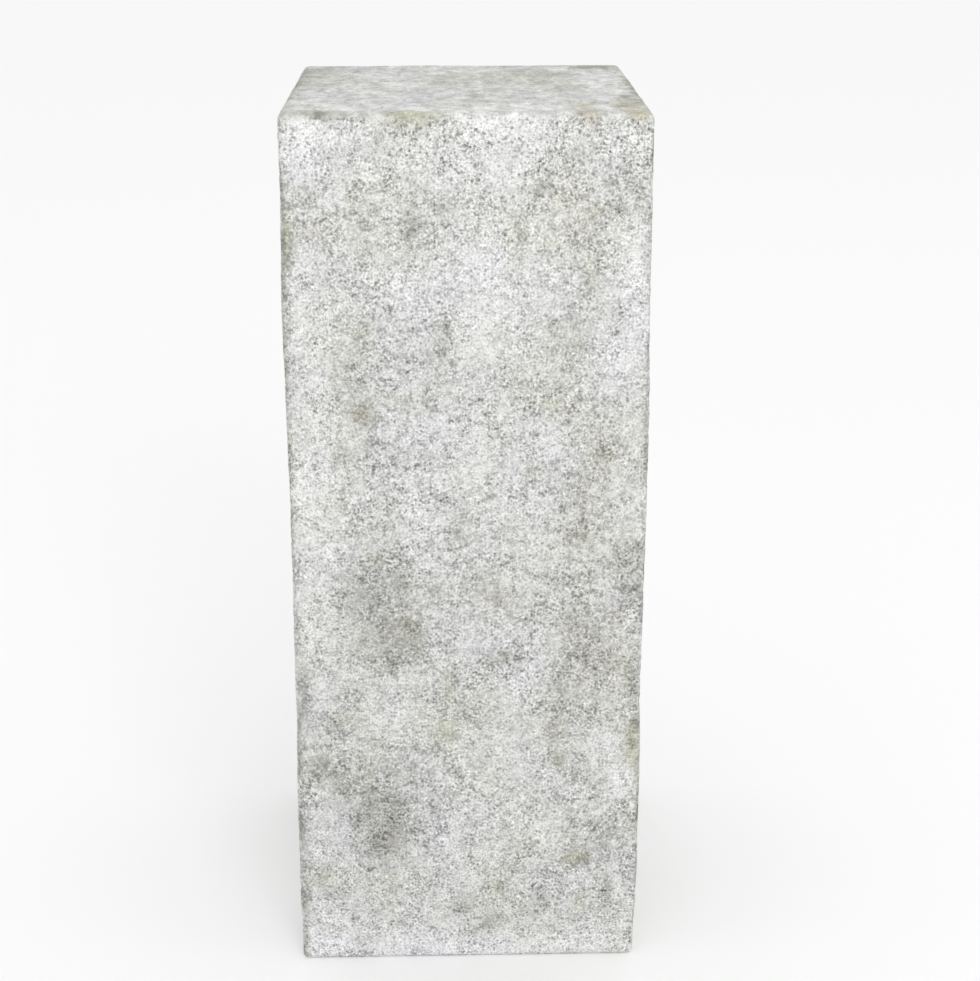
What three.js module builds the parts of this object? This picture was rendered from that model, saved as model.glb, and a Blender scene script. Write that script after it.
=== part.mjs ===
// Decorative column: a plain square pillar, cast in one piece as a thin-walled shell.
// Its flat top closes it, and underneath it is open. The sides lean in a little and are not quite true.
// Millimetres, +Z up, the front faces -Y, and the origin is the middle of the underside.

import * as THREE from "three";

// Driving sizes
const WIDTH = 300; // at the foot, along X and Y alike
const HEIGHT = 755;
const LEAN = 6; // how much further in each side is at the top than at the foot
const WALL = 14; // the four sides, at the foot
const TOP_SLAB = 16;

// Edges, rounded by the mould and by handling
const CORNER_RADIUS = 5; // the four upright corners
const CROWN_RADIUS = 6; // around the top face
const FOOT_RADIUS = 3; // around the underside

// Cavity, narrower at its closed end so that the core draws out
const CAVITY_DRAFT = 2; // how much further in its walls are at the top than at the foot
const CAVITY_CORNER_RADIUS = 8;
const CAVITY_FILLET = 6; // where the walls meet the top slab

// Swells and worn places of the sides. A swell is a soft hump with its middle at "along" the face,
// which is Y on the left and right and X on the front and back, and at "height" above the foot.
// It fades over "reach" along the face and up it, and stands "out", or in where that is negative.
const FRONT_EDGE = -WIDTH / 2;
const SWELLS = {
  left: [
    { along: FRONT_EDGE, height: 595, reach: [150, 40], out: 1.3 },
    { along: FRONT_EDGE, height: 400, reach: [120, 60], out: -0.7 },
    { along: FRONT_EDGE, height: 100, reach: [160, 100], out: 1.8 },
    { along: FRONT_EDGE, height: 715, reach: [90, 45], out: -0.9 },
    { along: 60, height: 370, reach: [80, 120], out: 1.2 },
  ],
  right: [
    { along: FRONT_EDGE, height: 480, reach: [170, 95], out: 1.6 },
    { along: FRONT_EDGE, height: 262, reach: [110, 25], out: -1.0 },
    { along: FRONT_EDGE, height: 190, reach: [90, 35], out: 0.6 },
    { along: FRONT_EDGE, height: 0, reach: [50, 40], out: -3.2 },
    { along: 90, height: 120, reach: [70, 110], out: 1.4 },
  ],
  front: [
    { along: -40, height: 560, reach: [90, 110], out: 0.8 },
    { along: 60, height: 300, reach: [80, 120], out: -0.9 },
    { along: -70, height: 130, reach: [70, 70], out: 0.7 },
  ],
  back: [
    { along: 50, height: 600, reach: [90, 100], out: 0.9 },
    { along: -60, height: 340, reach: [90, 120], out: -0.8 },
    { along: 30, height: 110, reach: [100, 80], out: 1.0 },
  ],
};

// Steps of the faceted skin
const FACE_STEPS = 10; // along the straight run of each side
const CORNER_STEPS = 4;
const SHAFT_STEPS = 27;
const CROWN_STEPS = 5;
const FOOT_STEPS = 2;
const FILLET_STEPS = 3;

// How far one side swells out at a place on it
function swellOf(side, along, height) {
  let out = 0;
  for (const swell of SWELLS[side]) {
    const off = (along - swell.along) / swell.reach[0];
    const up = (height - swell.height) / swell.reach[1];
    out += swell.out * Math.exp(-off * off - up * up);
  }
  return out;
}

// Moves a point of the true square out with the swells of the two sides nearest to it
function swollen(point) {
  const sideX = point.x < 0 ? "left" : "right";
  const sideY = point.y < 0 ? "front" : "back";
  const shareX = point.x / (WIDTH / 2);
  const shareY = point.y / (WIDTH / 2);
  const x = point.x + shareX * swellOf(sideX, point.y, point.z);
  const y = point.y + shareY * swellOf(sideY, point.x, point.z);
  return new THREE.Vector3(x, y, point.z);
}

// A level square ring with round corners, counter-clockwise from above
function squareRing(half, cornerRadius, z) {
  const points = [];
  const straight = half - cornerRadius;
  const quarterTurn = Math.PI / 2;
  const upright = new THREE.Vector3(0, 0, 1);
  for (let side = 0; side < 4; side += 1) {
    const quarter = [];
    for (let step = 0; step < FACE_STEPS; step += 1) {
      const along = THREE.MathUtils.lerp(-straight, straight, step / FACE_STEPS);
      quarter.push(new THREE.Vector3(half, along, z));
    }
    for (let step = 0; step < CORNER_STEPS; step += 1) {
      const turn = quarterTurn * (step / CORNER_STEPS);
      const x = straight + cornerRadius * Math.cos(turn);
      const y = straight + cornerRadius * Math.sin(turn);
      quarter.push(new THREE.Vector3(x, y, z));
    }
    for (const point of quarter) {
      points.push(point.applyAxisAngle(upright, side * quarterTurn));
    }
  }
  return points;
}

// A quarter round, from flush with a wall to level with the face that it turns into
function quarterRound(radius, steps) {
  const points = [];
  for (let step = 0; step <= steps; step += 1) {
    const turn = (Math.PI / 2) * (step / steps);
    points.push({ inset: radius * (1 - Math.cos(turn)), rise: radius * Math.sin(turn) });
  }
  return points;
}

// The cavity's rings, from its ceiling down to the open foot
function cavityRings() {
  const ceiling = HEIGHT - TOP_SLAB;
  const footHalf = WIDTH / 2 - WALL;
  const topHalf = footHalf - CAVITY_DRAFT;
  const rings = [];
  for (const { inset, rise } of quarterRound(CAVITY_FILLET, FILLET_STEPS).reverse()) {
    const z = ceiling - CAVITY_FILLET + rise;
    rings.push(squareRing(topHalf - inset, CAVITY_CORNER_RADIUS - inset, z));
  }
  rings.push(squareRing(footHalf, CAVITY_CORNER_RADIUS, 0));
  return rings;
}

// The outer skin's rings, from the underside up to the top face
function skinRings() {
  const levels = [];
  for (const { inset, rise } of quarterRound(FOOT_RADIUS, FOOT_STEPS).reverse()) {
    levels.push({ inset, z: FOOT_RADIUS - rise });
  }
  for (let step = 1; step < SHAFT_STEPS; step += 1) {
    const z = THREE.MathUtils.lerp(FOOT_RADIUS, HEIGHT - CROWN_RADIUS, step / SHAFT_STEPS);
    levels.push({ inset: 0, z });
  }
  for (const { inset, rise } of quarterRound(CROWN_RADIUS, CROWN_STEPS)) {
    levels.push({ inset, z: HEIGHT - CROWN_RADIUS + rise });
  }
  return levels.map(({ inset, z }) => {
    const half = WIDTH / 2 - LEAN * (z / HEIGHT);
    return squareRing(half - inset, CORNER_RADIUS, z).map(swollen);
  });
}

// A closed surface through rings with matching points, with a flat cap on the first and the last
function loft(rings) {
  const count = rings[0].length;
  const faces = [];
  for (let row = 0; row + 1 < rings.length; row += 1) {
    for (let i = 0; i < count; i += 1) {
      const next = (i + 1) % count;
      const here = row * count;
      const above = here + count;
      faces.push(here + i, here + next, above + next);
      faces.push(here + i, above + next, above + i);
    }
  }
  const lastRow = (rings.length - 1) * count;
  for (const [a, b, c] of THREE.ShapeUtils.triangulateShape(rings[0], [])) {
    faces.push(c, b, a);
  }
  for (const [a, b, c] of THREE.ShapeUtils.triangulateShape(rings.at(-1), [])) {
    faces.push(lastRow + a, lastRow + b, lastRow + c);
  }
  const geometry = new THREE.BufferGeometry();
  geometry.setFromPoints(rings.flat());
  geometry.setIndex(faces);
  geometry.computeVertexNormals();
  return geometry;
}

const limewash = new THREE.MeshStandardMaterial({ color: 0xcecec9, roughness: 0.95, metalness: 0 });

const shaft = new THREE.Mesh(loft([...cavityRings(), ...skinRings()]), limewash);
shaft.name = "column";

const column = new THREE.Group();
column.add(shaft);

export default column;
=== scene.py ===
import math
import random

import bpy
import numpy as np
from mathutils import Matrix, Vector, noise
from mathutils.bvhtree import BVHTree


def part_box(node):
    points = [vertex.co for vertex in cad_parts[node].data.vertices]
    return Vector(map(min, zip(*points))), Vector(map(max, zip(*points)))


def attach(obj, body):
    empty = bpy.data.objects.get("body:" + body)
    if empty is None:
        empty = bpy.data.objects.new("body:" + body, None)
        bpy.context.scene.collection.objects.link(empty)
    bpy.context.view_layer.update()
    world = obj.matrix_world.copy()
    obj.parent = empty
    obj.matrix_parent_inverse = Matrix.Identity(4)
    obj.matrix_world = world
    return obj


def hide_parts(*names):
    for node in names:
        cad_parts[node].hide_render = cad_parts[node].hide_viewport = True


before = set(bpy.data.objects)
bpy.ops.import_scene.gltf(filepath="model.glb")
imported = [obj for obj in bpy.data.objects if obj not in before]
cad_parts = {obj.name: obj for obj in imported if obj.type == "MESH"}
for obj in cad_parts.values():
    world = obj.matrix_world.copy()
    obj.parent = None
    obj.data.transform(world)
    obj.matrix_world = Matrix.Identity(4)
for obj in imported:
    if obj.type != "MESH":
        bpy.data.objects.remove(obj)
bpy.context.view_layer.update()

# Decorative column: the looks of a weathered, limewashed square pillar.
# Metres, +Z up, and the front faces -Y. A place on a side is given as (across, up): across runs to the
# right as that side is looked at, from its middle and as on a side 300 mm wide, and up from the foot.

MM = 0.001

# Seeds of the noise and of the marks that are scattered over each hidden side
NOISE_SEED = 1
RIGHT_SEED, BACK_SEED, LEFT_SEED = 11, 12, 13

# The true form, before the swells of its sides, which are read from the frame
HALF = 150 * MM  # at the foot
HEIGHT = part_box("column")[1].z
LEAN = 6 * MM  # how much further in each side is at the top
CORNER = 5 * MM
CROWN = 6 * MM
FOOT = 3 * MM
WALL = 14 * MM
TOP_SLAB = 16 * MM
CAVITY_DRAFT = 2 * MM
CAVITY_CORNER = 8 * MM

# The swells are measured by rays from outside the true form, which keep off its round corners
RAY_GAP = 20 * MM
CORNER_GAP = 2 * MM

# Steps of the mesh: cells of about 3.4 mm on the outside, finer round the edges and coarse inside
STRAIGHT_STEPS = 86
CORNER_STEPS = 3
ACROSS_STEPS = STRAIGHT_STEPS + 2 * CORNER_STEPS
SHAFT_STEPS = 222
CROWN_STEPS = 5
FOOT_STEPS = 2
CAVITY_STEPS = 6

# Where the surfaces lie on the map that a texture is drawn on: left, bottom, width and height
SKIN_MAP = (0.0, 0.0, 1.0, 0.70)
TOP_MAP = (0.0, 0.71, 0.28, 0.28)
CAVITY_MAP = (0.30, 0.71, 0.69, 0.18)
CEILING_MAP = (0.30, 0.91, 0.08, 0.08)

# Relief of the cast and washed surface: how high it is and how long its waves are. Pits and chips begin
# where their noise passes a level, and that noise is shifted so that it does not follow the lumps.
TROWEL_HEIGHT, TROWEL_WAVE = 0.45 * MM, 70 * MM
LUMP_HEIGHT, LUMP_WAVE = 0.40 * MM, 16 * MM
PIT_DEPTH, PIT_WAVE, PIT_FROM, PIT_SOFTNESS = 0.8 * MM, 6.5 * MM, 0.30, 0.35
CHIP_DEPTH, CHIP_WAVE, CHIP_FROM, CHIP_SOFTNESS = 1.6 * MM, 14 * MM, 0.25, 0.70
PIT_SHIFT = Vector((7.3, 1.9, 4.1))
CHIP_SHIFT = Vector((2.7, 8.1, 3.3))
LUMP_LAYERS = (0.9, 2.0, 3)  # how the finer layers fade, how much finer each one is, and how many
CHIP_LAYERS = (0.8, 2.0, 3)
EDGE_REACH = 4 * MM  # how far from an edge it is chipped, and how far a corner's painted shade reaches
TOP_RELIEF = 0.4  # the share of the lumps and pits that the top has
TOP_FROM = HEIGHT - CROWN / 4  # where the top begins

# Light: the sky's brightness, and the softbox in front
SKY_OVERHEAD = 1.135
SKY_AT_SIDES = 0.70
KEY_PLACE = (1.2, -4.0, 2.6)
KEY_SIZE = 2.4
KEY_POWER = 40

# The floor of the studio: half its width, and its look
FLOOR_HALF = 60.0
FLOOR_GREY = 0.94
FLOOR_ROUGHNESS = 0.9

# The photograph's camera
CAMERA_PLACE = (-0.0154, -1.4910, 0.9589)
CAMERA_DOWN, CAMERA_RIGHT = 20.73, 1.43  # degrees that it is turned
CAMERA_LENS, SENSOR_WIDTH = 64.55, 36  # in millimetres

# Colours are on the eye's scale, from 0 for black to 1 for white, and a power turns them into light
EYE_POWER = 2.2
WASH_COLOUR = (0.877, 0.877, 0.871)
DARKEST = 0.05
BARE_INSIDE = 0.22  # how much darker the bare cement inside is
CORNER_PAINTED_SHADE = 0.15  # how much darker the upright corners are: painted shade of their rounding
CORNER_SHADE_MEAN, CORNER_SHADE_SPREAD, CORNER_SHADE_WAVE = 0.7, 0.9, 22 * MM  # how strong the painted corner shade is, and how unevenly it lies, like rubbed-off wash
WASH_ROUGHNESS, WASH_SHINE = 0.92, 0.25
BUMP_STRENGTH, BUMP_HEIGHT = 0.35, 0.6 * MM

# Specks of bare cement in the wash: their noise, how they fade in, how dark they are, how much closer
# together dirt and the painted shade of the upright corners bring them, and how much these and the top
# hide them. They stand out more near the top and the foot, and more in some places than in others. A noise
# is given by its waves, detail and roughness.
SPECK_NOISE = (2.2 * MM, 2.0, 0.8)
SPECK_EDGE = (0.46, 0.78)
SPECK_DEPTH = 0.30
DEEPEST_SPECK = 0.31
SPECK_CROWDING = 0.7
SPECK_HIDING = 0.8
TOP_HIDING = 0.62
CRISPNESS_AT_TOP, CRISP_ABOVE = 0.12, 0.7 * HEIGHT
CRISPNESS_AT_FOOT, CRISP_BELOW = 0.10, 0.25 * HEIGHT
VARIETY_NOISE = (22 * MM, 2.0, 0.5)
VARIETY_EDGE, VARIETY_RANGE = (0.35, 0.65), (0.7, 1.2)

# Pinholes, in cells with bent walls: how they fade in, how dark they are, how unlike their sizes are, and
# the least size, which is below zero so that many cells have no hole
PINHOLE_CELL, PINHOLE_BEND, PINHOLE_BEND_WAVE = 2.6 * MM, 1.4 * MM, 1.6 * MM
PINHOLE_EDGE = (-0.2, 0.3)
PINHOLE_DEPTH = 0.15
PINHOLE_SPREAD, PINHOLE_LEAST = 0.9, -0.25

# Layers of noise that make the wash uneven: the length of the waves, how much, detail and roughness
SPECK_DRIFT = (9 * MM, 0.3, 2.0, 0.5)
PINHOLE_DRIFT = (11 * MM, 0.8, 2.0, 0.5)
GRAIN = (1.7 * MM, 0.36, 1.0, 0.5)
CLOTS = (7 * MM, 0.20, 2.0, 0.5)
PATCHES = (34 * MM, 0.08, 3.0, 0.5)
CLOUDS = (10 * MM, 0.46, 3.0, 0.65)
WARMTH = (60 * MM, 0.05, 2.0, 0.5)

# The wash was brushed over the top from front to back, which draws its clouds out along Y
BRUSHED = (1.0, 0.5, 1.0)

# The outlines of marks are bent by coarse and by fine noise: length of the waves, how far, and a shift
COARSE_BEND = (24 * MM, 3.5 * MM, 3.1)
FINE_BEND = (9 * MM, 2.5 * MM, 9.4)
BEND_SHIFT = (1.0, 1.7, 2.3)  # which way the noise is shifted

# The look of the top comes in as the surface turns level: from which slope, how softly, and how far the
# fine bend of the marks would have to go to count as much as the whole turn
LEVEL_FROM, LEVEL_SOFTNESS, LEVEL_EVENNESS = 0.2, 0.4, 12 * MM

# What each kind of mark does to red, green and blue for a strength of one, and to how close the specks are
GREY = (-0.49, -0.48, -0.57, 1.0)
OLIVE = (-0.44, -0.42, -0.76, 1.05)
BROWN = (-0.42, -0.48, -0.68, 1.05)
MOSS = (-0.65, -0.64, -1.05, 0.4)
TAN = (-0.57, -0.65, -0.97, 0.3)
SHADE = (-1.0, -1.0, -1.0, 0.0)
WHITE = (0.50, 0.50, 0.50, -1.0)
COOL = (0.46, 0.44, 0.60, -1.0)

# Marks on the front: kind, across and up in millimetres, reach across and up, strength in the middle
FRONT_MARKS = [
    # a broad darkening over the lower half, and two long streaks of dirt
    (GREY, 0, 246, 400, 220, 0.040),
    (GREY, -76, 337, 34, 280, 0.030),
    (BROWN, 95, 477, 26, 260, 0.030),
    # the large smudge low on the left
    (GREY, -77, 136, 31, 30, 0.085),
    (SHADE, -72, 128, 18, 24, 0.065),
    (BROWN, -71, 118, 12, 10, 0.040),
    (SHADE, -62, 161, 8, 8, 0.110),
    (GREY, -87, 150, 12, 16, 0.040),
    (GREY, -102, 157, 10, 8, 0.060),
    (MOSS, -87, 193, 9, 12, 0.060),
    (GREY, -58, 189, 10, 8, 0.070),
    (MOSS, -71, 75, 8, 18, 0.070),
    # the large smudge at the middle of the left
    (GREY, -75, 335, 31, 42, 0.070),
    (BROWN, -53, 326, 12, 14, 0.110),
    (BROWN, -57, 368, 9, 10, 0.080),
    (GREY, -71, 316, 10, 8, 0.030),
    (OLIVE, -43, 310, 8, 12, 0.080),
    (GREY, -67, 296, 12, 9, 0.050),
    (GREY, -92, 356, 12, 8, 0.090),
    (GREY, -104, 371, 6, 6, 0.070),
    (MOSS, -81, 391, 10, 9, 0.045),
    # spots and streaks of the upper left
    (BROWN, -87, 515, 10, 9, 0.170),
    (OLIVE, -104, 556, 12, 20, 0.060),
    (OLIVE, -58, 528, 14, 7, 0.060),
    (GREY, -92, 534, 7, 7, 0.070),
    (GREY, -29, 519, 10, 7, 0.060),
    (GREY, -78, 489, 9, 5, 0.090),
    (OLIVE, -102, 480, 10, 16, 0.070),
    (OLIVE, -85, 580, 13, 20, 0.070),
    (GREY, -60, 586, 20, 16, 0.045),
    (GREY, -23, 567, 8, 11, 0.150),
    (GREY, -18, 586, 7, 9, 0.160),
    (GREY, -24, 545, 18, 12, 0.075),
    (GREY, -46, 671, 8, 20, 0.150),
    (GREY, -18, 683, 11, 5, 0.090),
    (SHADE, -72, 730, 9, 9, 0.080),
    (GREY, -130, 694, 12, 9, 0.090),
    (OLIVE, -85, 678, 20, 25, 0.045),
    (BROWN, -122, 669, 18, 8, 0.060),
    (OLIVE, -147, 658, 9, 22, 0.150),
    (GREY, -147, 697, 5, 20, 0.080),
    (GREY, -10, 415, 10, 26, 0.080),
    (GREY, -54, 477, 10, 12, 0.060),
    (BROWN, -110, 435, 9, 6, 0.060),
    (GREY, -27, 361, 9, 10, 0.090),
    # spots and streaks of the lower left
    (GREY, -143, 258, 7, 26, 0.110),
    (OLIVE, -110, 242, 14, 12, 0.065),
    (GREY, -131, 199, 11, 12, 0.140),
    (GREY, -116, 184, 22, 14, 0.100),
    (OLIVE, -129, 82, 12, 16, 0.080),
    (GREY, -147, 56, 5, 14, 0.070),
    # two long dark strips down the left upright corner: painted shade of that corner
    (GREY, -148, 150, 6, 110, 0.065),
    (GREY, -149, 520, 4, 260, 0.050),
    (GREY, -33, 149, 5, 10, 0.110),
    (OLIVE, -20, 230, 12, 16, 0.075),
    (GREY, -42, 210, 9, 6, 0.070),
    (OLIVE, -17, 276, 8, 16, 0.060),
    (GREY, -5, 57, 7, 7, 0.150),
    (GREY, -22, 48, 8, 8, 0.070),
    (GREY, 21, 38, 10, 10, 0.120),
    (OLIVE, 25, 71, 10, 10, 0.070),
    # the stained right side, from the top down
    (GREY, 58, 699, 7, 7, 0.120),
    (BROWN, 75, 695, 20, 18, 0.050),
    (OLIVE, 106, 680, 8, 8, 0.070),
    (GREY, 122, 683, 6, 5, 0.140),
    (GREY, 126, 706, 14, 14, 0.070),
    (GREY, 143, 694, 6, 12, 0.090),
    (GREY, 140, 679, 8, 6, 0.060),
    (GREY, 90, 723, 8, 12, 0.060),
    (OLIVE, 42, 657, 10, 22, 0.090),
    (OLIVE, 68, 652, 16, 12, 0.050),
    (BROWN, 91, 665, 10, 14, 0.050),
    (OLIVE, 103, 624, 10, 20, 0.050),
    (OLIVE, 80, 580, 22, 20, 0.060),
    (BROWN, 44, 541, 14, 14, 0.045),
    (GREY, 75, 547, 10, 8, 0.080),
    (OLIVE, 73, 522, 16, 8, 0.070),
    (BROWN, 115, 477, 14, 14, 0.100),
    (OLIVE, 58, 467, 10, 8, 0.075),
    (BROWN, 96, 435, 15, 24, 0.045),
    (OLIVE, 90, 408, 14, 10, 0.055),
    (GREY, 137, 393, 11, 9, 0.120),
    (GREY, 139, 363, 8, 14, 0.160),
    (BROWN, 24, 356, 18, 10, 0.100),
    (GREY, 9, 371, 9, 9, 0.100),
    (GREY, 41, 340, 8, 8, 0.060),
    (GREY, 37, 410, 9, 9, 0.060),
    (BROWN, 102, 302, 32, 32, 0.050),
    (GREY, 90, 329, 10, 6, 0.090),
    (BROWN, 128, 335, 10, 10, 0.070),
    (BROWN, 124, 291, 9, 8, 0.080),
    (GREY, 82, 269, 13, 8, 0.120),
    (BROWN, 27, 297, 14, 7, 0.090),
    (GREY, 142, 274, 8, 24, 0.100),
    (MOSS, 144, 216, 7, 22, 0.150),
    (BROWN, 77, 228, 11, 20, 0.060),
    (OLIVE, 79, 199, 7, 7, 0.110),
    (GREY, 112, 128, 16, 16, 0.070),
    (GREY, 122, 115, 10, 10, 0.110),
    (GREY, 85, 126, 8, 7, 0.060),
    (GREY, 138, 126, 6, 12, 0.050),
    (BROWN, 101, 101, 8, 6, 0.200),
    (BROWN, 117, 88, 8, 6, 0.070),
    (OLIVE, 88, 101, 8, 8, 0.120),
    (GREY, 121, 66, 5, 16, 0.120),
    (OLIVE, 100, 57, 10, 10, 0.090),
    (GREY, 38, 94, 10, 5, 0.075),
    (GREY, 42, 118, 14, 10, 0.060),
    (GREY, 66, 51, 14, 16, 0.065),
    # thick white wash
    (COOL, -131, 726, 22, 24, 0.050),
    (WHITE, -130, 742, 18, 12, 0.095),
    (WHITE, -40, 722, 18, 12, 0.040),
    (WHITE, 25, 745, 45, 14, 0.090),
    (WHITE, 35, 716, 20, 14, 0.050),
    (COOL, 20, 636, 24, 20, 0.070),
    (COOL, 18, 595, 18, 12, 0.050),
    (COOL, 124, 560, 18, 20, 0.050),
    (WHITE, 136, 734, 26, 10, 0.060),
    (WHITE, 148, 722, 6, 14, 0.100),
    (WHITE, 113, 652, 8, 8, 0.060),
    (WHITE, 122, 634, 7, 9, 0.050),
    (WHITE, 31, 664, 8, 10, 0.050),
    (WHITE, -8, 706, 7, 12, 0.050),
    (WHITE, 134, 639, 9, 30, 0.060),
    # a long pale strip down the upper part of the right upright corner: painted light on that corner
    (WHITE, 147, 610, 7, 90, 0.045),
    (WHITE, -135, 595, 12, 40, 0.040),
    (WHITE, -58, 627, 20, 8, 0.050),
    (WHITE, -142, 452, 9, 34, 0.060),
    (WHITE, -42, 430, 8, 30, 0.060),
    (WHITE, -135, 335, 14, 28, 0.045),
    (WHITE, -125, 440, 20, 70, 0.035),
    (WHITE, -65, 279, 22, 10, 0.060),
    (WHITE, -108, 322, 8, 10, 0.050),
    (WHITE, -122, 111, 10, 10, 0.050),
    (WHITE, -86, 442, 10, 8, 0.050),
    (COOL, -64, 238, 20, 20, 0.070),
    (WHITE, 44, 268, 12, 10, 0.050),
    (WHITE, 59, 254, 9, 9, 0.050),
    (WHITE, 4, 274, 7, 9, 0.040),
    (COOL, 117, 217, 12, 14, 0.055),
    (COOL, 131, 177, 10, 16, 0.070),
    (COOL, 0, 11, 180, 14, 0.070),
    (COOL, -126, 17, 16, 10, 0.070),
    (COOL, 101, 20, 12, 8, 0.060),
]

# Marks on the sides that the front does not show are scattered: how many, their kinds, their reach across,
# how many times as tall as wide they are, and the strength of a mark that reaches one millimetre
HIDDEN_MARKS = 110
HIDDEN_KINDS = [GREY, GREY, GREY, OLIVE, OLIVE, BROWN, WHITE, COOL]
HIDDEN_REACH = (6, 26)
HIDDEN_STRETCH = (0.6, 1.8)
HIDDEN_STRENGTH = 0.9

# Marks along the front edge of the top, which lie on both faces: kind, across, reach along the edge and
# away from it, strength
EDGE_MARKS = [
    (GREY, -116, 22, 4, 0.300),
    (MOSS, -44, 24, 10, 0.180),
    (TAN, 100, 9, 7, 0.160),
    (TAN, 138, 10, 6, 0.190),
]

# Marks on the top, with Y in place of up
TOP_MARKS = [
    (SHADE, 0, 0, 400, 400, 0.033),
    (GREY, 0, 0, 400, 400, 0.050),
    # the dark back corners and the rims of the left and right edges
    (GREY, -136, 95, 18, 45, 0.140),
    (GREY, 112, 128, 8, 16, 0.320),
    (GREY, 132, 130, 12, 18, 0.300),
    (GREY, -149, 10, 5, 130, 0.350),
    (GREY, 149, -20, 5, 100, 0.450),
    # drifts of dirt in the middle
    (GREY, -75, 115, 60, 20, 0.060),
    (OLIVE, -118, 40, 20, 60, 0.050),
    (OLIVE, 62, 70, 34, 45, 0.080),
    (GREY, 80, 80, 14, 40, 0.060),
    (OLIVE, -20, 45, 24, 30, 0.070),
    (OLIVE, 20, 70, 14, 40, 0.050),
    (GREY, 85, -5, 14, 18, 0.080),
    (GREY, 12, -50, 16, 16, 0.080),
    # worn and stained places near the front
    (GREY, -118, -142, 22, 8, 0.210),
    (GREY, 136, -65, 6, 14, 0.120),
    (TAN, 132, -112, 10, 40, 0.150),
    (TAN, 98, -118, 8, 26, 0.160),
    # paler places
    (COOL, 118, 55, 14, 60, 0.060),
    (WHITE, -60, 10, 40, 60, 0.040),
    (WHITE, -10, 105, 60, 20, 0.040),
    (WHITE, 30, -125, 60, 16, 0.080),
]


def clamp(value, low, high):
    return max(low, min(high, value))


def smoothstep(low, high, value):
    share = clamp((value - low) / (high - low), 0, 1)
    return share * share * (3 - 2 * share)


def half_at(z):
    return HALF - LEAN * z / HEIGHT


def stations(half, corner):
    """Places along one side of a square, close together at its two ends."""
    straight = half - corner
    ends = [half - corner * step / CORNER_STEPS for step in range(CORNER_STEPS)]
    middle = [straight * (2 * step / STRAIGHT_STEPS - 1) for step in range(STRAIGHT_STEPS + 1)]
    return [-place for place in ends] + middle + ends[::-1]


def rounded(x, y, half, corner):
    """Moves a point of a square onto the like square with round corners."""
    size = max(abs(x), abs(y))
    radius = corner * size / half
    centre_x = clamp(x, radius - size, size - radius)
    centre_y = clamp(y, radius - size, size - radius)
    reach = math.hypot(x - centre_x, y - centre_y)
    pull = radius / reach if reach else 1
    return centre_x + (x - centre_x) * pull, centre_y + (y - centre_y) * pull


def ring(half, corner, z):
    """A level square ring with round corners, counter-clockwise from above, from the front left corner."""
    points = []
    for side in range(4):
        cos, sin = math.cos(side * math.pi / 2), math.sin(side * math.pi / 2)
        for along in stations(half, corner)[:-1]:
            x, y = rounded(along, -half, half, corner)
            points.append((x * cos - y * sin, x * sin + y * cos, z))
    return points


def quarter_round(radius, steps):
    """(inset, rise) pairs from flush with a wall to level with the face that it turns into."""
    turns = [math.pi / 2 * step / steps for step in range(steps + 1)]
    return [(radius * (1 - math.cos(turn)), radius * math.sin(turn)) for turn in turns]


def cavity_rings():
    """The inside of the shell, from its ceiling down to the foot."""
    rings = []
    foot_half = HALF - WALL
    for step in range(CAVITY_STEPS, -1, -1):
        share = step / CAVITY_STEPS
        rings.append(ring(foot_half - CAVITY_DRAFT * share, CAVITY_CORNER, (HEIGHT - TOP_SLAB) * share))
    return rings


def skin_rings():
    """The outside, from the underside up to the edge of the top face."""
    levels = [(inset, FOOT - rise) for inset, rise in reversed(quarter_round(FOOT, FOOT_STEPS))]
    shaft = HEIGHT - CROWN - FOOT
    levels += [(0, FOOT + shaft * step / SHAFT_STEPS) for step in range(1, SHAFT_STEPS)]
    levels += [(inset, HEIGHT - CROWN + rise) for inset, rise in quarter_round(CROWN, CROWN_STEPS)]
    return [ring(half_at(z) - inset, CORNER, z) for inset, z in levels]


def wall_faces(rings, first, box):
    """Faces between rings whose points are numbered from first, and where their corners lie on the map."""
    count = len(rings[0])
    lengths = [math.dist(low[0], high[0]) for low, high in zip(rings, rings[1:])]
    heights = np.concatenate([[0], np.cumsum(lengths)]) / sum(lengths)
    faces, places = [], []
    for row in range(len(rings) - 1):
        low, high = first + row * count, first + (row + 1) * count
        for i in range(count):
            after = (i + 1) % count
            faces.append((low + i, low + after, high + after, high + i))
            for step, level in ((i, row), (i + 1, row), (i + 1, row + 1), (i, row + 1)):
                places.append(on_map(step / count, heights[level], box))
    return faces, places


def on_map(across, up, box):
    left, bottom, width, height = box
    return left + across * width, bottom + up * height


def top_faces(first_round, first_inner):
    """Faces of the top, between the points of the ring round it and the points within."""
    n = ACROSS_STEPS

    def number(i, j):
        if j == 0:
            return first_round + i
        if i == n:
            return first_round + n + j
        if j == n:
            return first_round + 3 * n - i
        if i == 0:
            return first_round + 4 * n - j
        return first_inner + (j - 1) * (n - 1) + i - 1

    faces, places = [], []
    for j in range(n):
        for i in range(n):
            square = ((i, j), (i + 1, j), (i + 1, j + 1), (i, j + 1))
            faces.append(tuple(number(*corner) for corner in square))
            places += [on_map(a / n, b / n, TOP_MAP) for a, b in square]
    return faces, places


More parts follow.
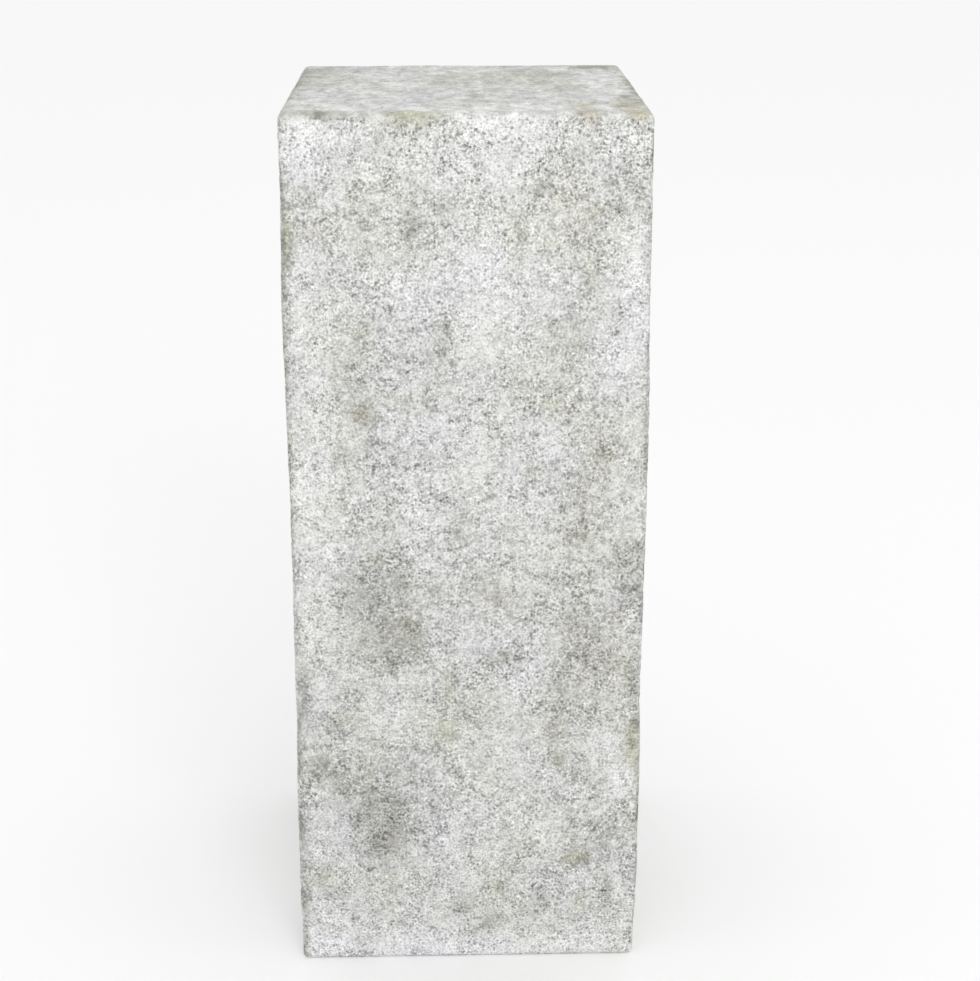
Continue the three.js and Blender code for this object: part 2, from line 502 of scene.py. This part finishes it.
def shell():
    """The closed shell's points and faces, where they lie on the map, and how many points are inside."""
    inside, skin = cavity_rings(), skin_rings()
    count = 4 * ACROSS_STEPS
    inside_count = len(inside) * count
    points = [point for level in inside + skin for point in level]
    faces, places = wall_faces(inside, 0, CAVITY_MAP)
    rim_and_skin, their_places = wall_faces(inside[-1:] + skin, inside_count - count, SKIN_MAP)
    faces += rim_and_skin
    places += their_places

    faces.append(tuple(reversed(range(count))))
    for x, y, _ in reversed(inside[0]):
        places.append(on_map(0.5 + x / HALF / 2, 0.5 + y / HALF / 2, CEILING_MAP))

    top_half = half_at(HEIGHT) - CROWN
    inner = stations(top_half, CORNER)[1:-1]
    first_inner = len(points)
    points += [(*rounded(x, y, top_half, CORNER), HEIGHT) for y in inner for x in inner]
    lid, lid_places = top_faces(first_inner - count, first_inner)
    return np.array(points), faces + lid, places + lid_places, inside_count


def swells(points):
    """How far the frame's sides stand out from the true form at each point, along X and along Y."""
    probe = HALF + RAY_GAP
    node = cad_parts["column"].data
    tree = BVHTree.FromPolygons([v.co for v in node.vertices], [p.vertices for p in node.polygons])
    moved = np.zeros((len(points), 2))
    for i, (x, y, z) in enumerate(points):
        up = clamp(z, FOOT, HEIGHT - CROWN)
        flat = half_at(up) - CORNER - CORNER_GAP
        for axis, reach, along in ((0, x, y), (1, y, x)):
            outward = Vector((0, 0, 0))
            outward[axis] = math.copysign(1, reach)
            start = outward * probe
            start[1 - axis] = clamp(along, -flat, flat)
            start.z = up
            distance = tree.ray_cast(start, -outward)[3]
            moved[i, axis] = (probe - distance - half_at(up)) * reach / HALF
    return moved


def at_edge(point):
    """1 on an upright corner or an edge of the top, fading to 0 away from it."""
    x, y, z = point
    second = sorted((half_at(z) - abs(x), half_at(z) - abs(y), HEIGHT - z))[1]
    return math.exp(-((second / EDGE_REACH) ** 2))


def at_upright(point):
    """1 on an upright corner, fading to 0 away from it."""
    x, y, z = point
    return math.exp(-(((half_at(z) - min(abs(x), abs(y))) / EDGE_REACH) ** 2))


def relief(point):
    """How far the surface stands out at a point of the outside: trowel marks, lumps, pits and chips."""
    p = Vector(point)
    calm = TOP_RELIEF if p.z > TOP_FROM else 1
    height = TROWEL_HEIGHT * noise.noise(p / TROWEL_WAVE)
    height += calm * LUMP_HEIGHT * noise.fractal(p / LUMP_WAVE, *LUMP_LAYERS)
    pit = noise.noise(p / PIT_WAVE + PIT_SHIFT)
    height -= calm * PIT_DEPTH * smoothstep(PIT_FROM, PIT_FROM + PIT_SOFTNESS, pit)
    chip = noise.fractal(p / CHIP_WAVE + CHIP_SHIFT, *CHIP_LAYERS)
    height -= CHIP_DEPTH * at_edge(point) * smoothstep(CHIP_FROM, CHIP_FROM + CHIP_SOFTNESS, chip)
    return height


def build_column():
    points, faces, places, inside_count = shell()
    outside = np.arange(len(points)) >= inside_count
    points[outside, :2] += swells(points[outside])

    mesh = bpy.data.meshes.new("column_cast")
    mesh.from_pydata(points.tolist(), [], faces)
    mesh.update()
    normals = np.array([v.normal for v in mesh.vertices])
    paint(mesh, points, normals, outside)
    heights = np.array([relief(p) if out and p[2] > FOOT else 0 for p, out in zip(points, outside)])
    points += normals * heights[:, None]
    mesh.vertices.foreach_set("co", points.ravel())
    mesh.polygons.foreach_set("use_smooth", np.ones(len(mesh.polygons), bool))
    mesh.uv_layers.new(name="OFBake").uv.foreach_set("vector", np.array(places, np.float32).ravel())
    mesh.update()

    column = bpy.data.objects.new("column_cast", mesh)
    bpy.context.scene.collection.objects.link(column)
    return column


def warp(points, wave, amount, shift):
    """A smooth random move of each point, so that soft marks get uneven outlines."""
    offset = Vector([shift * part for part in BEND_SHIFT])
    return np.array([noise.noise_vector(Vector(p) / wave + offset) for p in points]) * amount


def marked(across, up, marks):
    """What the soft marks on one face add to red, green, blue and the specks at each place."""
    total = np.zeros((len(across), len(GREY)))
    for kind, mark_across, mark_up, wide, tall, strength in marks:
        off = (across / MM - mark_across) / wide
        rise = (up / MM - mark_up) / tall
        total += np.outer(strength * np.exp(-off * off - rise * rise), kind)
    return total


def random_marks(seed):
    """Marks scattered over a side that the front does not show, much like the front's."""
    pick = random.Random(seed)
    half, height = HALF / MM, HEIGHT / MM
    marks = []
    for _ in range(HIDDEN_MARKS):
        kind = pick.choice(HIDDEN_KINDS)
        wide = pick.uniform(*HIDDEN_REACH)
        tall = wide * pick.uniform(*HIDDEN_STRETCH)
        across = pick.uniform(-half, half)
        up = pick.uniform(0, height)
        marks.append((kind, across, up, wide, tall, HIDDEN_STRENGTH / wide))
    return marks


def edge_marks(up):
    """The marks of the front edge of the top, for a face on which that edge is this far up."""
    marks = []
    for kind, across, wide, deep, strength in EDGE_MARKS:
        marks.append((kind, across, up / MM, wide, deep, strength))
    return marks


def corner_shade(point):
    """How much painted shade a point of an upright corner gets, spread unevenly like rubbed-off wash,
    fading to 0 away from it.
    """
    return at_upright(point) * (CORNER_SHADE_MEAN + CORNER_SHADE_SPREAD * noise.noise(Vector(point) / CORNER_SHADE_WAVE))


def paint(mesh, points, normals, outside):
    """Writes the stains, the dirt, the painted shade of the upright corners, how level the surface is and
    what is inside to the mesh's points.
    """
    ragged = warp(points, *FINE_BEND)
    x, y, z = (points + warp(points, *COARSE_BEND) + ragged).T
    widening = HALF / half_at(z)
    x, y = x * widening, y * widening
    faces = [
        (-normals[:, 1], x, z, FRONT_MARKS + edge_marks(HEIGHT)),
        (normals[:, 0], y, z, random_marks(RIGHT_SEED)),
        (normals[:, 1], -x, z, random_marks(BACK_SEED)),
        (-normals[:, 0], -y, z, random_marks(LEFT_SEED)),
        (normals[:, 2], x, y, TOP_MARKS + edge_marks(-HALF)),
    ]
    # the upright corners get painted shade, spread unevenly like rubbed-off wash
    corner_shading = np.array([corner_shade(p) for p in points])
    total = np.outer(CORNER_PAINTED_SHADE * corner_shading, GREY)
    for facing, across, up, marks in faces:
        share = np.clip(facing, 0, 1) ** 2
        total += share[:, None] * marked(across, up, marks)
    total *= outside[:, None]
    stain_and_shade, dirt_and_shade = total[:, :3], total[:, 3]
    upward = normals[:, 2] + ragged[:, 0] / LEVEL_EVENNESS
    level = np.clip((upward - LEVEL_FROM) / LEVEL_SOFTNESS, 0, 1) * outside
    layer = mesh.attributes.new("stain_and_shade", "FLOAT_VECTOR", "POINT")
    layer.data.foreach_set("vector", np.asarray(stain_and_shade, np.float32).ravel())
    for name, values in (("dirt_and_shade", dirt_and_shade), ("level", level), ("inside", 1.0 - outside)):
        layer = mesh.attributes.new(name, "FLOAT", "POINT")
        layer.data.foreach_set("value", np.asarray(values, np.float32))


class Nodes:
    """Short ways to add shader nodes to one material."""

    def __init__(self, name):
        self.material = bpy.data.materials.new(name)
        self.material.use_nodes = True
        self.tree = self.material.node_tree
        self.shader = self.tree.nodes["Principled BSDF"]
        self.place = self.add("ShaderNodeTexCoord").outputs["Object"]

    def add(self, kind, **settings):
        node = self.tree.nodes.new(kind)
        for name, value in settings.items():
            setattr(node, name, value)
        return node

    def feed(self, socket, value):
        if hasattr(value, "is_output"):
            self.tree.links.new(value, socket)
        else:
            socket.default_value = value

    def operate(self, kind, operation, values):
        node = self.add(kind, operation=operation)
        for socket, value in zip(node.inputs, values):
            self.feed(socket, value)
        return node.outputs[0]

    def math(self, operation, *values):
        return self.operate("ShaderNodeMath", operation, values)

    def vector(self, operation, *values):
        return self.operate("ShaderNodeVectorMath", operation, values)

    def noise(self, wave, detail=2.0, roughness=0.5, place=None, output="Fac"):
        """Noise from 0 to 1 with its middle at 0.5, with waves of about that length."""
        node = self.add("ShaderNodeTexNoise")
        self.feed(node.inputs["Vector"], place or self.place)
        node.inputs["Scale"].default_value = 1 / wave
        node.inputs["Detail"].default_value = detail
        node.inputs["Roughness"].default_value = roughness
        return node.outputs[output]

    def layer(self, wave, gain, detail, roughness, place=None):
        """Noise with its middle at zero."""
        centred = self.math("SUBTRACT", self.noise(wave, detail, roughness, place), 0.5)
        return self.math("MULTIPLY", centred, gain)

    def scaled(self, source, gain, offset):
        return self.math("ADD", self.math("MULTIPLY", source, gain), offset)

    def ramp(self, source, begin, end, low=0.0, high=1.0):
        """Turns begin to end into low to high, and holds the ends."""
        node = self.add("ShaderNodeMapRange")
        for name, value in (("Value", source), ("From Min", begin), ("From Max", end)):
            self.feed(node.inputs[name], value)
        node.inputs["To Min"].default_value = low
        node.inputs["To Max"].default_value = high
        return node.outputs[0]

    def pinholes(self, dirt_and_shade):
        """Round holes of uneven size and depth, one to a cell of the wash and none in many cells."""
        bend = self.noise(PINHOLE_BEND_WAVE, output="Color")
        bent = self.vector("MULTIPLY_ADD", bend, (PINHOLE_BEND,) * 3, self.place)
        cells = self.add("ShaderNodeTexVoronoi")
        self.feed(cells.inputs["Vector"], bent)
        cells.inputs["Scale"].default_value = 1 / PINHOLE_CELL
        luck = self.add("ShaderNodeSeparateColor")
        self.feed(luck.inputs[0], cells.outputs["Color"])
        reach = self.scaled(luck.outputs["Red"], PINHOLE_SPREAD, PINHOLE_LEAST)
        reach = self.math("ADD", reach, self.layer(*PINHOLE_DRIFT))
        reach = self.math("ADD", reach, dirt_and_shade)
        hole = self.ramp(self.math("SUBTRACT", reach, cells.outputs["Distance"]), *PINHOLE_EDGE)
        depth = self.scaled(luck.outputs["Green"], PINHOLE_DEPTH, PINHOLE_DEPTH / 2)
        return self.math("MULTIPLY", hole, depth)

    def attribute(self, name, output="Fac"):
        return self.add("ShaderNodeAttribute", attribute_name=name).outputs[output]


def limewashed_cement():
    n = Nodes("limewashed_cement")
    stain_and_shade = n.attribute("stain_and_shade", "Vector")
    dirt_and_shade, level, inside = n.attribute("dirt_and_shade"), n.attribute("level"), n.attribute("inside")

    # Cement shows where the wash has not taken: specks and pinholes, closer with dirt and painted corner
    # shade
    crowding = n.math("ADD", n.noise(*SPECK_NOISE), n.layer(*SPECK_DRIFT))
    crowding = n.math("ADD", crowding, n.math("MULTIPLY", dirt_and_shade, SPECK_CROWDING))
    bare = n.math("ADD", n.ramp(crowding, *SPECK_EDGE, 0.0, SPECK_DEPTH), n.pinholes(dirt_and_shade))
    bare = n.math("MINIMUM", bare, DEEPEST_SPECK)

    # How much the specks and the grain of the wash stand out
    place = n.add("ShaderNodeSeparateXYZ")
    n.feed(place.inputs[0], n.place)
    up = place.outputs["Z"]
    crispness = n.ramp(up, CRISP_ABOVE, HEIGHT, 1.0, 1.0 + CRISPNESS_AT_TOP)
    crispness = n.math("ADD", crispness, n.ramp(up, 0.0, CRISP_BELOW, CRISPNESS_AT_FOOT, 0.0))
    variety = n.ramp(n.noise(*VARIETY_NOISE), *VARIETY_EDGE, *VARIETY_RANGE)
    strength = n.math("MULTIPLY", variety, crispness)
    strength = n.math("MULTIPLY", strength, n.scaled(dirt_and_shade, -SPECK_HIDING, 1.0))
    fine = n.math("MULTIPLY", n.math("SUBTRACT", n.layer(*GRAIN), bare), strength)

    # How much brighter or darker than the wash each place is
    brushed = n.vector("MULTIPLY", n.place, BRUSHED)
    clouds = n.math("MULTIPLY", n.layer(*CLOUDS, brushed), level)
    bright = n.math("ADD", n.layer(*CLOTS), n.layer(*PATCHES))
    bright = n.math("ADD", bright, n.math("MULTIPLY", fine, n.scaled(level, -TOP_HIDING, 1.0)))
    bright = n.math("ADD", bright, clouds)
    bright = n.math("SUBTRACT", bright, n.math("MULTIPLY", inside, BARE_INSIDE))

    # Warm and cool drifts of the wash, and the stains with the painted corner shade
    red, green, blue = WASH_COLOUR
    tone = n.add("ShaderNodeCombineXYZ")
    n.feed(tone.inputs["X"], n.math("ADD", bright, red))
    n.feed(tone.inputs["Y"], n.math("ADD", bright, green))
    n.feed(tone.inputs["Z"], n.math("ADD", n.math("SUBTRACT", bright, n.layer(*WARMTH)), blue))
    stained = n.vector("ADD", tone.outputs[0], stain_and_shade)
    linear = n.add("ShaderNodeGamma")
    n.feed(linear.inputs["Color"], n.vector("MAXIMUM", stained, (DARKEST,) * 3))
    linear.inputs["Gamma"].default_value = EYE_POWER
    n.feed(n.shader.inputs["Base Color"], linear.outputs[0])
    n.shader.inputs["Roughness"].default_value = WASH_ROUGHNESS
    n.shader.inputs["Specular IOR Level"].default_value = WASH_SHINE

    bump = n.add("ShaderNodeBump")
    bump.inputs["Strength"].default_value = BUMP_STRENGTH
    bump.inputs["Distance"].default_value = BUMP_HEIGHT
    n.feed(bump.inputs["Height"], fine)
    n.feed(n.shader.inputs["Normal"], bump.outputs[0])
    return n.material


def pale_floor():
    mesh = bpy.data.meshes.new("floor")
    corners = [(-1, -1), (1, -1), (1, 1), (-1, 1)]
    mesh.from_pydata([(FLOOR_HALF * x, FLOOR_HALF * y, 0) for x, y in corners], [], [(0, 1, 2, 3)])
    material = bpy.data.materials.new("pale_floor")
    material.use_nodes = True
    shader = material.node_tree.nodes["Principled BSDF"]
    shader.inputs["Base Color"].default_value = (FLOOR_GREY, FLOOR_GREY, FLOOR_GREY, 1)
    shader.inputs["Roughness"].default_value = FLOOR_ROUGHNESS
    shader.inputs["Specular IOR Level"].default_value = 0.0
    mesh.materials.append(material)
    floor = bpy.data.objects.new("floor", mesh)
    bpy.context.scene.collection.objects.link(floor)


def softbox(name, place, target, size, power):
    light = bpy.data.lights.new(name, "AREA")
    light.shape = "DISK"
    light.size = size
    light.energy = power
    box = bpy.data.objects.new(name, light)
    box.location = place
    box.rotation_euler = (Vector(target) - Vector(place)).to_track_quat("-Z", "Y").to_euler()
    bpy.context.scene.collection.objects.link(box)


def studio():
    """Soft light: a sky that is brighter overhead than at the sides, and a large softbox in front."""
    world = bpy.data.worlds.new("studio")
    bpy.context.scene.world = world
    world.use_nodes = True
    nodes, links = world.node_tree.nodes, world.node_tree.links
    direction = nodes.new("ShaderNodeTexCoord").outputs["Generated"]
    height = nodes.new("ShaderNodeSeparateXYZ")
    links.new(direction, height.inputs[0])
    sky = nodes.new("ShaderNodeMapRange")
    links.new(height.outputs["Z"], sky.inputs["Value"])
    sky.inputs["To Min"].default_value = SKY_AT_SIDES
    sky.inputs["To Max"].default_value = SKY_OVERHEAD
    links.new(sky.outputs[0], nodes["Background"].inputs["Strength"])
    nodes["Background"].inputs["Color"].default_value = (1, 1, 1, 1)
    softbox("key", KEY_PLACE, (0, 0, HEIGHT / 2), KEY_SIZE, KEY_POWER)
    bpy.context.scene.view_settings.view_transform = "Standard"


def photo_camera():
    """The photograph's view: from a little above, a little to the left of the middle."""
    lens = bpy.data.cameras.new("photo_camera")
    lens.sensor_fit = "HORIZONTAL"
    lens.sensor_width = SENSOR_WIDTH
    lens.lens = CAMERA_LENS
    camera = bpy.data.objects.new("photo_camera", lens)
    camera.location = CAMERA_PLACE
    camera.rotation_euler = (math.radians(90 - CAMERA_DOWN), 0, math.radians(-CAMERA_RIGHT))
    bpy.context.scene.collection.objects.link(camera)
    bpy.context.scene.camera = camera


noise.seed_set(NOISE_SEED)  # without it the vector noise differs from run to run
column = build_column()
column.data.materials.append(limewashed_cement())
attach(column, "root")
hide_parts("column")
pale_floor()
studio()
photo_camera()
